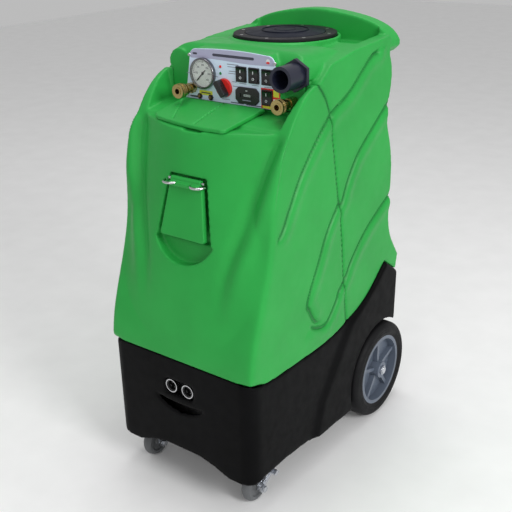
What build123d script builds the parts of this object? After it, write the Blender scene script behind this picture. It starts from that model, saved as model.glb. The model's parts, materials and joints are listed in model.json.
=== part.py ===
"""Upright box extractor: a carpet cleaning machine on two large rear wheels and two braked casters.

Millimetres. The operator's panel faces -Y, X runs to the right of someone who looks at it,
+Z is up, and the origin is on the floor under the middle of the overall box.
"""

import os
from math import cos, pi, radians, sin

from build123d import *

os.makedirs("parts", exist_ok=True)

# ---------------------------------------------------------------- driving dimensions
HALF_WIDTH = 200.0          # moulded tanks and base, half the outside width
WALL = 6.5                  # rotomoulded wall
SEAM_GAP = 0.6              # joint line between two mouldings
FRONT_Y = -332.0            # front face of the base
FENDER_X = 207.0            # raised fender round each rear wheel

WHEEL_R = 127.0             # ten-inch rear wheels
WHEEL_Y = 205.0
TYRE_X = (165.0, 215.0)     # inner and outer face of a rear tyre
RIM_R = 92.0
AXLE_R = 8.0
WELL_R = 137.0
WELL_X = 160.0
CORNER_R = 34.0             # upright front corners of the base
LIP_Z = 87.0                # lowest edge of the base's front

CASTER_X = 150.0
CASTER_Y = -240.0
CASTER_TOP = 96.0           # underside of the base at the casters
CASTER_R = 38.0
CASTER_TRAIL = 24.0

CONSOLE_Y = -110.0          # flat face that carries the control panel
CHEEK_Y = -98.0             # set-back faces at both sides of the console
PANEL_T = 2.5
PANEL_Y = CONSOLE_Y - PANEL_T

LID_Y = 86.0
DECK_Z = 976.0
FLANGE_R = 115.5
LID_R = 89.0
LID_OPENING_R = 83.0

# Pocket of the service door, on the leaning middle of the front face.
LEAN = 10.4                 # degrees the front face leans back
POCKET_ORIGIN = (0.0, -276.0, 718.0)
DOOR_AXIS = (-268.0, 731.0)  # Y and Z of the door's hinge rod
HINGE_ROD_R = 3.0

RUN = 0.05                  # radial clearance of a running fit


def save(piece, name):
    """Label a finished piece and write its STEP file."""
    piece.part.label = name
    export_step(piece.part, f"parts/{name}.step")


def facing(x, z, y=PANEL_Y):
    """A plane that faces the front: local x is X, local y is Z, and local z points to -Y."""
    return Plane(origin=(x, y, z), x_dir=(1, 0, 0), z_dir=(0, -1, 0))


def side_plane(x=0.0):
    """A plane across the machine: local x is Y, local y is Z, and local z points to +X."""
    return Plane(origin=(x, 0, 0), x_dir=(0, 1, 0), z_dir=(1, 0, 0))


# ---------------------------------------------------------------- shared outlines, as (Y, Z)
# The rim where both green tanks sit on the black base.
RIM_FRONT = [(-332, 341), (-299, 331), (-201, 321.5), (-95, 318), (-3, 322), (46, 333)]
RIM_REAR = [(46, 333), (122, 354), (178, 388), (225, 424)]
RIM_REAR_ENDS = [(1, 0.2), (1, 0.7)]   # directions of the rear rim at its two ends
RIM_HEEL = (287, 380)
# The front edge of each wing of the solution tank.
WING = [
    (-332, 341), (-323, 399), (-288, 505), (-257, 611), (-242, 718), (-203, 816), (-140, 892),
    (-96, 914),
]
# The seam between the two tanks, from the top down.
SEAM = [(-86, 912), (-56, 877), (-35, 819), (-3, 660), (8, 615), (29, 449), (46, 333)]
# The back of the recovery tank, from the rim's heel up to the handle.
BACK = [(295, 420), (261, 467), (236, 582), (240, 640), (225, 731), (206, 801), (212, 830), (200, 925)]


def lifted(points, dy=0.0, dz=0.0):
    """The same outline, shifted."""
    return [(y + dy, z + dz) for y, z in points]


# ---------------------------------------------------------------- base housing
def wheel_wells(radius, from_x):
    """Two drums on the rear axle, from from_x outwards."""
    with BuildPart() as wells:
        for side in (1, -1):
            with BuildSketch(side_plane(side * from_x)):
                with Locations((WHEEL_Y, WHEEL_R)):
                    Circle(radius)
            extrude(amount=side * 80)
    return wells.part


with BuildPart() as base_cavity:
    with BuildSketch(side_plane()):
        with BuildLine():
            Polyline((-325, 119), (-325, 520), (278, 520), (272, 158), (68, 158), (68, 119), close=True)
        make_face()
    extrude(amount=HALF_WIDTH - WALL - 1, both=True)
    fillet(base_cavity.edges().filter_by(Axis.Z).sort_by(Axis.Y)[:2], CORNER_R - WALL)
    for side in (1, -1):
        with Locations((side * 150, -120, 111.5)):
            Box(64, 360, 15)
    add(wheel_wells(WELL_R + WALL, WELL_X - WALL), mode=Mode.SUBTRACT)

INLET_X = 23.0
INLET_Z = 270.0
INLET_R = 16.0
INLET_DEPTH = 17.0          # depth of the pocket that they sit in

HATCH_Y = 34.0              # opening in the base's floor
HATCH_WIDTH = 120.0
HATCH_DEPTH = 50.0

with BuildPart() as base_housing:
    with BuildSketch(side_plane()):
        with BuildLine():
            rim = Spline(*RIM_FRONT)
            rear = Spline(*RIM_REAR, tangents=RIM_REAR_ENDS)
            Polyline(rear @ 1, RIM_HEEL, (280, 150), (75, 150), (75, 70), (-200, 93), (-290, 93))
            Polyline((-290, 93), (-316, LIP_Z), (FRONT_Y, LIP_Z), rim @ 0)
        make_face()
    extrude(amount=HALF_WIDTH - 0.5, both=True)
    fillet(base_housing.edges().filter_by(Axis.Z).sort_by(Axis.Y)[:2], CORNER_R)
    # Raised fenders, with a broad sloping shoulder towards the front.
    for side in (1, -1):
        with BuildSketch(side_plane(side * (HALF_WIDTH - 2))):
            with BuildLine():
                Polyline(
                    (-108, 81), (-81, 171), (-28, 243), (36, 322), (122, 350), (178, 383), (225, 420),
                    (284, 378), (281, 160), (75, 71), close=True,
                )
            make_face()
        with BuildSketch(side_plane(side * FENDER_X)):
            with BuildLine():
                Polyline(
                    (-82, 80), (-55, 161), (-1, 231), (66, 316), (124, 349), (178, 382), (225, 418),
                    (282, 377), (279, 162), (75, 73), close=True,
                )
            make_face()
        loft()
    # The underside rises between the two side rails.
    with BuildSketch(Plane(origin=(0, FRONT_Y - 1, 0), x_dir=(1, 0, 0), z_dir=(0, -1, 0))):
        with BuildLine():
            arch = Spline((-140, 82), (-104, 97), (-60, 109), (0, 112), (60, 109), (104, 97), (140, 82))
            Polyline(arch @ 1, (140, 50), (-140, 50), arch @ 0)
        make_face()
    extrude(amount=-410, mode=Mode.SUBTRACT)
    # Flat seats for the caster plates.
    for side in (1, -1):
        with Locations((side * CASTER_X, CASTER_Y, CASTER_TOP)):
            Box(66, 54, 30, align=(Align.CENTER, Align.CENTER, Align.MAX), mode=Mode.SUBTRACT)
    add(wheel_wells(WELL_R, WELL_X), mode=Mode.SUBTRACT)
    add(base_cavity.part, mode=Mode.SUBTRACT)
    # Opening in the floor behind the vacuum motors, for their cooling air and for reaching the wiring.
    with BuildSketch(Plane.XY.offset(60)):
        with Locations((0, HATCH_Y)):
            RectangleRounded(HATCH_WIDTH, HATCH_DEPTH, 8)
    extrude(amount=80, mode=Mode.SUBTRACT)
    # Closed pocket in the front wall for the two power inlets, and the crescent scoop under it.
    with Locations((0, FRONT_Y + 20.5, 266)):
        Box(104, 40, 58)
    with Locations((0, FRONT_Y + INLET_DEPTH / 2, 268)):
        Box(78, INLET_DEPTH, 36, mode=Mode.SUBTRACT)
    with BuildSketch(facing(0, 240, FRONT_Y)):
        with BuildLine():
            ThreePointArc((-76, 0), (0, -34), (76, 0))
            ThreePointArc((76, 0), (0, -8), (-76, 0))
        make_face()
    extrude(amount=-5, mode=Mode.SUBTRACT)
    with BuildSketch(facing(0, 0, FRONT_Y + 10)):
        with Locations((-INLET_X, INLET_Z), (INLET_X, INLET_Z)):
            Circle(11)
    extrude(amount=-50, mode=Mode.SUBTRACT)
    # Exhaust louvres in the rear wall.
    with BuildSketch(Plane(origin=(0, 290, 0), x_dir=(1, 0, 0), z_dir=(0, -1, 0))):
        with Locations((0, 205)):
            with GridLocations(0, 14, 1, 6):
                SlotOverall(110, 6)
    extrude(amount=24, mode=Mode.SUBTRACT)
    # Holes for the caster bolts.
    for side in (1, -1):
        with Locations((side * CASTER_X, CASTER_Y, CASTER_TOP)):
            with GridLocations(44, 32, 2, 2):
                Cylinder(2.6, 40, mode=Mode.SUBTRACT)
save(base_housing, "base_housing")


# ---------------------------------------------------------------- solution tank (front, green)
def front_bulge(wall):
    """The leaning, bowed middle of the front, drawn in by the wall's thickness."""
    with BuildPart() as bulge:
        for z, y_side, y_mid, half in (
            (342 + wall, -331, -332, 199), (590, -262, -299, 184), (834 - wall, -190, -246, 178),
        ):
            with BuildSketch(Plane.XY.offset(z)):
                with BuildLine():
                    ThreePointArc(
                        (-half + wall, y_side + wall), (0, y_mid + wall), (half - wall, y_side + wall),
                    )
                    Polyline(
                        (half - wall, y_side + wall), (half - wall, -150), (-half + wall, -150),
                        (-half + wall, y_side + wall),
                    )
                make_face()
        loft()
    return bulge.part


def tank_side():
    """The side outline of the solution tank."""
    with BuildSketch(side_plane()) as outline:
        with BuildLine():
            Spline(*lifted(RIM_FRONT, dz=SEAM_GAP))
            seam = Spline(*lifted(SEAM, dz=SEAM_GAP)[::-1])
            front = Spline(*lifted(WING, dz=SEAM_GAP)[::-1])
            Line(seam @ 1, front @ 0)
        make_face()
    return outline.sketch


SHELF = [(-420, 796), (-262, 826), (CONSOLE_Y + 1, 854), (-30, 854), (-30, 1100), (-420, 1100)]
SHELF_HALF = 175.0
FILL_BOX = (-20.0, -178.0, 120.0, 66.0)   # middle X and Y, then X and Y size, of the fill opening

front_leaning = Plane(
    origin=POCKET_ORIGIN, x_dir=(1, 0, 0), z_dir=(0, -cos(radians(LEAN)), sin(radians(LEAN)))
)


def front_pocket(grow):
    """The door's recess with the finger scoop under it, grown all round for the wall behind it."""
    with BuildPart() as pocket:
        with BuildSketch(front_leaning.offset(30)):
            with BuildLine():
                Polyline(
                    (-49 - grow, 25 + grow), (49 + grow, 25 + grow), (72 + grow, -112 - grow),
                    (-72 - grow, -112 - grow), close=True,
                )
            make_face()
        extrude(amount=-(30 + 34 + grow))
        with BuildSketch(front_leaning.offset(30)):
            with BuildLine():
                ThreePointArc((-78 - grow, -110), (0, -162 - grow), (78 + grow, -110))
                Line((78 + grow, -110), (-78 - grow, -110))
            make_face()
        extrude(amount=-(30 + 26 + grow))
    return pocket.part


with BuildPart() as tank_cavity:
    # The cavity stops short of the thin wings.
    with BuildSketch(side_plane()):
        with BuildLine():
            floor = Spline((-325, 348), (-201, 329), (-95, 325), (-3, 329), (38, 339))
            seam = Spline(floor @ 1, (23, 449), (1, 615), (-9, 660), (-41, 819), (-48, 840))
            front = Spline(
                (-180, 840), (-196, 816), (-235, 718), (-250, 611), (-281, 505), (-316, 399), floor @ 0,
            )
            Line(seam @ 1, front @ 0)
        make_face()
    extrude(amount=HALF_WIDTH - WALL, both=True)
    add(front_bulge(WALL))
    with BuildSketch(side_plane()):
        Polygon(*lifted(SHELF, dz=-WALL), align=None)
    extrude(amount=SHELF_HALF + WALL, both=True, mode=Mode.SUBTRACT)
    add(front_pocket(WALL), mode=Mode.SUBTRACT)

with BuildPart() as solution_tank:
    extrude(tank_side(), amount=HALF_WIDTH, both=True)
    add(front_bulge(0))
    with BuildSketch(side_plane()):
        Polygon(*SHELF, align=None)
    extrude(amount=SHELF_HALF, both=True, mode=Mode.SUBTRACT)
    # The wings get thinner towards their tops.
    with BuildSketch(facing(0, 0, CHEEK_Y)):
        Polygon(
            (-SHELF_HALF, 848), (SHELF_HALF, 848), (190, 922), (190, 1000), (-190, 1000), (-190, 922),
            align=None,
        )
    extrude(amount=300, mode=Mode.SUBTRACT)
    add(front_pocket(0), mode=Mode.SUBTRACT)
    with Locations((FILL_BOX[0], FILL_BOX[1], 840)):
        Box(FILL_BOX[2], FILL_BOX[3], 60, mode=Mode.SUBTRACT)
    # Finger notch under the front edge of the fill lid.
    with Locations((-2, -250, 838)):
        Box(50, 44, 22, mode=Mode.SUBTRACT)
    add(tank_cavity.part, mode=Mode.SUBTRACT)
save(solution_tank, "solution_tank")


# ---------------------------------------------------------------- recovery tank (rear, green)
HOOD_BOTTOM = 855.0
HOOD_TOP = [(CHEEK_Y, 946), (-84, 965), (0, 973), (200, DECK_Z - 1)]   # crown of the hood, front to back
PORT_X, PORT_Z = 154.5, 931.0        # vacuum hose port, on the right cheek
PORT_BORE_R = 22.0
SHOULDER_Z = 921.0          # underside of the hood's shoulders round the duct
RIGHT_COUPLER = (148.0, 877.0)       # X and Z, on the right cheek
LEFT_COUPLER = (-105.0, 882.0)       # X and Z, on the panel
HANDLE_Y = (208.0, 254.0)
HANDLE_RISE = 1018.0
STANDPIPE_X, STANDPIPE_Y = 90.0, 82.0
STANDPIPE_R = 25.0
DRAIN_Z = 468.0             # drain spigot on the rear wall
DRAIN_R = 20.0
DRAIN_SEAT_Y = 262.5

with BuildPart() as recovery_cavity:
    with BuildSketch(side_plane()):
        with BuildLine():
            floor = Spline((53, 342), (122, 362), (178, 396), (225, 432))
            Polyline(
                floor @ 1, (250, 452), (229, 590), (216, 735), (193, 838), (191, 942), (104, 942),
                (104, 967), (-10, 967), (-10, 860), (8, 615), floor @ 0,
            )
        make_face()
    extrude(amount=HALF_WIDTH - WALL - 1, both=True)
    # It stays under the hood's rounded shoulders.
    with BuildSketch(facing(0, 0, -120)):
        with BuildLine():
            Polyline(
                (-196, 300), (196, 300), (196, 941), (166, 943), (150, 955), (108, 963), (0, 967.5),
                (-108, 963), (-150, 955), (-166, 943), (-196, 941), close=True,
            )
        make_face()
    extrude(amount=-450, mode=Mode.INTERSECT)

with BuildPart() as recovery_tank:
    # The hood, with its console standing proud of the two cheeks.
    with BuildSketch(side_plane()):
        with BuildLine():
            crown = Spline(*HOOD_TOP)
            Polyline(crown @ 1, (200, HOOD_BOTTOM), (CHEEK_Y, HOOD_BOTTOM), crown @ 0)
        make_face()
    extrude(amount=SHELF_HALF - SEAM_GAP, both=True)
    hood_half = SHELF_HALF - SEAM_GAP
    with BuildSketch(facing(0, 0, -120)):
        with BuildLine():
            Polyline((-hood_half, 938), (-hood_half, 850), (hood_half, 850), (hood_half, 938))
            crown = Spline(
                (hood_half, 938), (162, 962), (110, 971), (0, 975), (-110, 971), (-162, 962),
                (-hood_half, 938),
            )
        make_face()
    extrude(amount=-330, mode=Mode.INTERSECT)
    with BuildSketch(facing(0, 0, CONSOLE_Y)):
        with BuildLine():
            Polyline(
                (-129, HOOD_BOTTOM), (129, HOOD_BOTTOM), (113, 950), (94, 967), (-94, 967), (-113, 950),
                close=True,
            )
        make_face()
    extrude(amount=-34)
    # The body behind the seam.
    with BuildSketch(side_plane()):
        with BuildLine():
            seam = Spline(*lifted(SEAM, dy=SEAM_GAP, dz=SEAM_GAP))
            rim = Spline(seam @ 1, *lifted(RIM_REAR, dz=SEAM_GAP)[1:], tangents=RIM_REAR_ENDS)
            back = Spline((HANDLE_Y[0], 930), *BACK[-2:0:-1])
            Polyline(rim @ 1, (287, 380 + SEAM_GAP), (295, 420), back @ 1)
            Polyline(back @ 0, (HANDLE_Y[0], 972), (56, 962), (-37, 947), seam @ 0)
        make_face()
    extrude(amount=HALF_WIDTH - 0.5, both=True)
    # The handle: an arched bar right across the back, overhanging the rear wall.
    with BuildSketch(Plane(origin=(0, HANDLE_Y[0], 0), x_dir=(1, 0, 0), z_dir=(0, -1, 0))):
        with BuildLine():
            arch = Spline(
                (-199, 958), (-186, 975), (-155, 993), (-80, 1011), (0, HANDLE_RISE), (80, 1011),
                (155, 993), (186, 975), (199, 958),
            )
            Polyline(arch @ 1, (199, 946), (184, 932), (-184, 932), (-199, 946), arch @ 0)
        make_face()
    extrude(amount=-(HANDLE_Y[1] - HANDLE_Y[0]))
    # Hand recess between the lid and the handle.
    with BuildSketch(Plane.XY.offset(948)):
        with BuildLine():
            Polyline((-166, 110), (-166, HANDLE_Y[0] + 8), (166, HANDLE_Y[0] + 8), (166, 110), close=True)
        make_face()
        with Locations((0, LID_Y)):
            Circle(FLANGE_R + 8, mode=Mode.SUBTRACT)
    extrude(amount=80, mode=Mode.SUBTRACT)
    # A rounded shoulder carries the hose duct on each side, wider than the hood's edge.
    for side in (1, -1):
        with BuildSketch(facing(0, 0, CHEEK_Y)):
            with Locations((side * PORT_X, PORT_Z)):
                Circle(PORT_BORE_R + WALL)
            with Locations((side * PORT_X, SHOULDER_Z - 30)):
                Rectangle(80, 60, mode=Mode.SUBTRACT)
        extrude(amount=-100)
    add(recovery_cavity.part, mode=Mode.SUBTRACT)
    # The recess's floor and wall close the cavity again.
    with BuildSketch(Plane.XY.offset(942)):
        with BuildLine():
            Polyline((-172, 104), (-172, HANDLE_Y[0] + 4), (172, HANDLE_Y[0] + 4), (172, 104), close=True)
        make_face()
        with Locations((0, LID_Y)):
            Circle(FLANGE_R + 2, mode=Mode.SUBTRACT)
    extrude(amount=8)
    with BuildSketch(Plane.XY.offset(942)):
        with Locations((0, LID_Y)):
            Circle(FLANGE_R + 8)
            Circle(FLANGE_R + 1, mode=Mode.SUBTRACT)
    extrude(amount=DECK_Z - 942)
    # Lid opening.
    with Locations((0, LID_Y, DECK_Z)):
        Cylinder(FLANGE_R - 20, 60, mode=Mode.SUBTRACT)
    with Locations((0, LID_Y, 948)):
        Cylinder(FLANGE_R - 6, 37, mode=Mode.SUBTRACT)
    # Control compartment behind the panel.
    with Locations((0, CONSOLE_Y + 28, 879.5)):
        Box(232, 72, 40, mode=Mode.SUBTRACT)
    with Locations((0, CONSOLE_Y + 28, 927)):
        Box(212, 72, 60, mode=Mode.SUBTRACT)
    # Duct from the hose port into the tank, and the holes for the couplers.
    with BuildSketch(facing(0, 0, 0)):
        with Locations((PORT_X, PORT_Z)):
            Circle(PORT_BORE_R)
    extrude(amount=100, both=True, mode=Mode.SUBTRACT)
    with BuildSketch(facing(0, 0, CHEEK_Y)):
        with Locations(RIGHT_COUPLER):
            Circle(8)
    extrude(amount=-40, mode=Mode.SUBTRACT)
    with Locations((STANDPIPE_X, STANDPIPE_Y, 352)):
        Cylinder(STANDPIPE_R, 90, mode=Mode.SUBTRACT)
    # A boss with a flat seat for the drain valve.
    with BuildSketch(facing(0, DRAIN_Z, DRAIN_SEAT_Y)):
        Circle(29)
    extrude(amount=14)
    with BuildSketch(facing(0, DRAIN_Z, DRAIN_SEAT_Y)):
        Circle(31)
    extrude(amount=-60, mode=Mode.SUBTRACT)
    with BuildSketch(facing(0, DRAIN_Z, DRAIN_SEAT_Y + 20)):
        Circle(DRAIN_R)
    extrude(amount=80, mode=Mode.SUBTRACT)
save(recovery_tank, "recovery_tank")


# ---------------------------------------------------------------- lid on the deck
FLANGE_T = 6.0
LID_PCD_R = 103.0

with BuildPart() as lid_flange:
    with Locations((0, LID_Y, DECK_Z)):
        Cylinder(FLANGE_R, FLANGE_T, align=(Align.CENTER, Align.CENTER, Align.MIN))
        Cylinder(FLANGE_R - 20.5, 24, align=(Align.CENTER, Align.CENTER, Align.MAX))
        Cylinder(LID_OPENING_R + RUN, 60, mode=Mode.SUBTRACT)
    fillet(
        lid_flange.edges().filter_by(GeomType.CIRCLE).group_by(Axis.Z)[-1].sort_by(SortBy.RADIUS)[-1:],
        2,
    )
    with Locations((0, LID_Y, DECK_Z + FLANGE_T)):
        Cylinder(LID_R + 1.5, 3, align=(Align.CENTER, Align.CENTER, Align.MAX), mode=Mode.SUBTRACT)
        with PolarLocations(LID_PCD_R, 8, start_angle=12):
            CounterSinkHole(2.2, 4.2, 10)
save(lid_flange, "lid_flange")

with BuildPart() as lid_flange_screws:
    with Locations((0, LID_Y, DECK_Z)):
        with PolarLocations(LID_PCD_R, 8, start_angle=12):
            Cylinder(2.0, FLANGE_T - 1.2, align=(Align.CENTER, Align.CENTER, Align.MIN))
    with Locations((0, LID_Y, DECK_Z + FLANGE_T - 2.1)):
        with PolarLocations(LID_PCD_R, 8, start_angle=12):
            Cone(2.0, 4.0, 2.1, align=(Align.CENTER, Align.CENTER, Align.MIN))
save(lid_flange_screws, "lid_flange_screws")

with BuildPart() as lid_seal:
    with Locations((0, LID_Y, DECK_Z + 3.1)):
        Cylinder(LID_R, 1.6, align=(Align.CENTER, Align.CENTER, Align.MIN))
        Cylinder(LID_OPENING_R + 0.4, 10, mode=Mode.SUBTRACT)
save(lid_seal, "lid_seal")

with BuildPart() as lid:
    with BuildSketch(Plane.XZ.offset(-LID_Y)):
        with BuildLine():
            rise = ThreePointArc((0, DECK_Z + 11.5), (50, DECK_Z + 10.2), (LID_R, DECK_Z + 6.4))
            Polyline(
                rise @ 1, (LID_R, DECK_Z + 4.8), (LID_OPENING_R, DECK_Z + 4.8),
                (LID_OPENING_R, DECK_Z - 20),
                (LID_OPENING_R - 5, DECK_Z - 20), (LID_OPENING_R - 5, DECK_Z + 2), (0, DECK_Z + 4),
                rise @ 0,
            )
        make_face()
    revolve(axis=Axis((0, LID_Y, 0), (0, 0, 1)))
save(lid, "lid")


# ---------------------------------------------------------------- control panel and what it carries
GAUGE = (-74.0, 915.0)
GAUGE_R = 33.0
ROCKERS = [(27.0, 922.5), (59.5, 922.5), (92.5, 922.5), (92.0, 881.5)]
ROCKER_W, ROCKER_H = 22.0, 27.0
LAMPS = [(-28.0, 933.0), (-28.0, 919.0)]
HOUR_METER = (42.0, 880.0)
BREAKERS = [(-86.0, 865.5), (-56.0, 865.5)]
KNOB = (-18.0, 890.0)
PANEL_SCREWS = [(-112, 951), (112, 951), (-121, 864), (121, 864)]

with BuildPart() as control_panel:
    with BuildSketch(facing(0, 0)):
        with BuildLine():
            Polyline((-111, 948), (-127, 858), (127, 858), (111, 948))
            ThreePointArc((111, 948), (104, 962), (92, 965))
            ThreePointArc((92, 965), (0, 969), (-92, 965))
            ThreePointArc((-92, 965), (-104, 962), (-111, 948))
        make_face()
        with Locations(GAUGE):
            Circle(GAUGE_R - 3, mode=Mode.SUBTRACT)
        with Locations(*ROCKERS):
            Rectangle(ROCKER_W + 2, ROCKER_H + 2, mode=Mode.SUBTRACT)
        with Locations(HOUR_METER):
            Rectangle(48, 24, mode=Mode.SUBTRACT)
        with Locations(*LAMPS):
            Circle(3.1, mode=Mode.SUBTRACT)
        with Locations(*BREAKERS):
            Circle(5.1, mode=Mode.SUBTRACT)
        with Locations(KNOB):
            Circle(4 + RUN, mode=Mode.SUBTRACT)
        with Locations(LEFT_COUPLER):
            Circle(8.1, mode=Mode.SUBTRACT)
        with Locations(*PANEL_SCREWS):
            Circle(2.1, mode=Mode.SUBTRACT)
    extrude(amount=-PANEL_T)
save(control_panel, "control_panel")

with BuildPart() as panel_screws:
    with BuildSketch(facing(0, 0)):
        with Locations(*PANEL_SCREWS):
            Circle(2.0)
    extrude(amount=-PANEL_T)
    with BuildSketch(facing(0, 0)):
        with Locations(*PANEL_SCREWS):
            Circle(3.6)
    extrude(amount=1.8, taper=20)
save(panel_screws, "panel_screws")

with BuildPart() as gauge_case:
    with BuildSketch(facing(*GAUGE)):
        Circle(GAUGE_R)
    extrude(amount=9)
    fillet(gauge_case.edges().group_by(Axis.Y)[0], 2.5)
    with BuildSketch(facing(*GAUGE)):
        Circle(GAUGE_R - 3.2)
    extrude(amount=-26)
    with BuildSketch(facing(*GAUGE).offset(9)):
        Circle(GAUGE_R - 3.6)
    extrude(amount=-7, mode=Mode.SUBTRACT)
    with BuildSketch(facing(*GAUGE).offset(-26)):
        Circle(7)
    extrude(amount=-12)
save(gauge_case, "gauge_case")

with BuildPart() as gauge_dial:
    with BuildSketch(facing(*GAUGE).offset(2)):
        Circle(GAUGE_R - 3.8)
    extrude(amount=1)
save(gauge_dial, "gauge_dial")

with BuildPart() as gauge_needle:
    with BuildSketch(facing(*GAUGE).offset(3.6)):
        with BuildLine():
            Polyline(
                (-16.5, -16.5), (-17.0, -15.6), (2.0, 3.5), (7.2, 7.8), (7.8, 7.2), (3.5, 2.0),
                (-15.6, -17.0), close=True,
            )
        make_face()
        Circle(3)
    extrude(amount=0.8)
    with BuildSketch(facing(*GAUGE).offset(3.2)):
        Circle(1.2)
    extrude(amount=0.5)
save(gauge_needle, "gauge_needle")

with BuildPart() as gauge_lens:
    with BuildSketch(facing(*GAUGE).offset(6)):
        Circle(GAUGE_R - 3.7)
    extrude(amount=1.8)
save(gauge_lens, "gauge_lens")

with BuildPart() as switch_bezels:
    with BuildSketch(facing(0, 0)):
        with Locations(*ROCKERS):
            RectangleRounded(ROCKER_W + 5, ROCKER_H + 5, 1.5)
            Rectangle(ROCKER_W + 0.8, ROCKER_H + 0.8, mode=Mode.SUBTRACT)
    extrude(amount=2.2)
    with BuildSketch(facing(0, 0)):
        with Locations(*ROCKERS):
            Rectangle(ROCKER_W + 1.8, ROCKER_H + 1.8)
            Rectangle(ROCKER_W + 0.8, ROCKER_H + 0.8, mode=Mode.SUBTRACT)
    extrude(amount=-16)
    with BuildSketch(facing(0, 0).offset(-16)):
        with Locations(*ROCKERS):
            Rectangle(ROCKER_W + 1.8, ROCKER_H + 1.8)
    extrude(amount=-6)
save(switch_bezels, "switch_bezels")

# Each rocker pivots on an axis along X, 1 mm behind the panel's face. The paddle is stored upright and
# its two faces slope away from the middle, so that it can tip either way.
for number, (x, z) in enumerate(ROCKERS, start=1):
    with BuildPart() as rocker:
        with BuildSketch(Plane(origin=(x, 0, z), x_dir=(0, 1, 0), z_dir=(1, 0, 0))):
            with BuildLine():
                half = ROCKER_H / 2
                top = ThreePointArc(
                    (PANEL_Y - 5.2, -half + 1), (PANEL_Y - 2.8, 0), (PANEL_Y - 5.2, half - 1),
                )
                Polyline(
                    top @ 1, (PANEL_Y + 1, half - 0.2), (PANEL_Y + 7, half - 4),
                    (PANEL_Y + 7, 4 - half), (PANEL_Y + 1, 0.2 - half), top @ 0,
                )
            make_face()
        extrude(amount=ROCKER_W / 2, both=True)
    save(rocker, f"rocker_{number}")

with BuildPart() as hour_meter:
    with BuildSketch(facing(*HOUR_METER)):
        with BuildLine():
            Polyline(
                (-30, -9), (-22, -17), (22, -17), (30, -9), (30, 9), (22, 17), (-22, 17), (-30, 9),
                close=True,
            )
        make_face()
    extrude(amount=4)
    chamfer(hour_meter.faces().sort_by(Axis.Y)[0].edges(), 1.2)
    with BuildSketch(facing(*HOUR_METER)):
        Rectangle(47, 23)
    extrude(amount=-34)
    with BuildSketch(facing(*HOUR_METER).offset(4)):
        Rectangle(34, 9)
    extrude(amount=-1.5, mode=Mode.SUBTRACT)
save(hour_meter, "hour_meter")

for lamp_name, lamp_place in zip(("indicator_red", "indicator_green"), LAMPS):
    with BuildPart() as lamp:
        with BuildSketch(facing(*lamp_place).offset(-8)):
            Circle(3.0)
        extrude(amount=10)
        fillet(lamp.edges().group_by(Axis.Y)[0], 1.6)
    save(lamp, lamp_name)

with BuildPart() as breaker_housings:
    with BuildSketch(facing(0, 0)):
        with Locations(*BREAKERS):
            RegularPolygon(6.5, 6)
            Circle(3 + RUN, mode=Mode.SUBTRACT)
    extrude(amount=3)
    with BuildSketch(facing(0, 0)):
        with Locations(*BREAKERS):
            Circle(5)
            Circle(3 + RUN, mode=Mode.SUBTRACT)
    extrude(amount=-14)
    with BuildSketch(facing(0, 0).offset(-14)):
        with Locations((BREAKERS[0][0], BREAKERS[0][1] + 6), (BREAKERS[1][0], BREAKERS[1][1] + 6)):
            Rectangle(14, 22)
    extrude(amount=-20)
save(breaker_housings, "breaker_housings")

for button_name, button_place in zip(("breaker_button_left", "breaker_button_right"), BREAKERS):
    with BuildPart() as button:
        with BuildSketch(facing(*button_place).offset(-8)):
            Circle(3)
        extrude(amount=14)
        fillet(button.edges().group_by(Axis.Y)[0], 0.8)
    save(button, button_name)

with BuildPart() as knob_skirt:
    with BuildSketch(facing(*KNOB).offset(0.5)):
        Circle(20)
    extrude(amount=6, taper=8)
    with BuildSketch(facing(*KNOB).offset(1)):
        Circle(4)
    extrude(amount=-21)
save(knob_skirt, "knob_skirt")

with BuildPart() as knob_grip:
    with BuildSketch(facing(*KNOB).offset(6.5)):
        with Locations(Location((0, 0), -55)):
            RectangleRounded(38, 15, 5)
    extrude(amount=15, taper=3)
    fillet(knob_grip.faces().sort_by(Axis.Y)[0].edges(), 1.5)
save(knob_grip, "knob_grip")


# ---------------------------------------------------------------- hose port and couplers
with BuildPart() as vacuum_port:
    with BuildSketch(facing(PORT_X, PORT_Z, CHEEK_Y)):
        RegularPolygon(29, 6, major_radius=False, rotation=30)
    extrude(amount=9)
    with BuildSketch(facing(PORT_X, PORT_Z, CHEEK_Y)):
        Circle(25.4)
    extrude(amount=58)
    with BuildSketch(facing(PORT_X, PORT_Z, CHEEK_Y)):
        Circle(PORT_BORE_R - 0.1)
    extrude(amount=-30)
    with BuildSketch(facing(PORT_X, PORT_Z, CHEEK_Y).offset(60)):
        Circle(19)
    extrude(amount=-100, mode=Mode.SUBTRACT)
save(vacuum_port, "vacuum_port")

COUPLER_BORE_R = 6.0


def coupler(x, z, y, reach):
    """Brass quick coupler: hexagon, stem with two collars, and its spring-loaded sleeve in front."""
    with BuildPart() as body:
        with BuildSketch(facing(x, z, y)):
            RegularPolygon(10, 6, major_radius=False)
        extrude(amount=reach - 40)
        with BuildSketch(facing(x, z, y)):
            Circle(9)
        extrude(amount=reach)
        with BuildSketch(facing(x, z, y).offset(reach - 30)):
            Circle(11.5)
        extrude(amount=5)
        with BuildSketch(facing(x, z, y)):
            Circle(7.5)
        extrude(amount=-16)
        with BuildSketch(facing(x, z, y).offset(reach)):
            Circle(COUPLER_BORE_R)
        extrude(amount=-34, mode=Mode.SUBTRACT)
    with BuildPart() as sleeve:
        with BuildSketch(facing(x, z, y).offset(reach - 18)):
            Circle(15)
        extrude(amount=17)
        with BuildSketch(facing(x, z, y).offset(reach - 11)):
            Circle(20)
            Circle(13.4, mode=Mode.SUBTRACT)
        extrude(amount=4, mode=Mode.SUBTRACT)
        with BuildSketch(facing(x, z, y).offset(reach - 30)):
            Circle(9 + RUN)
        extrude(amount=60, mode=Mode.SUBTRACT)
    return body, sleeve


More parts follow.
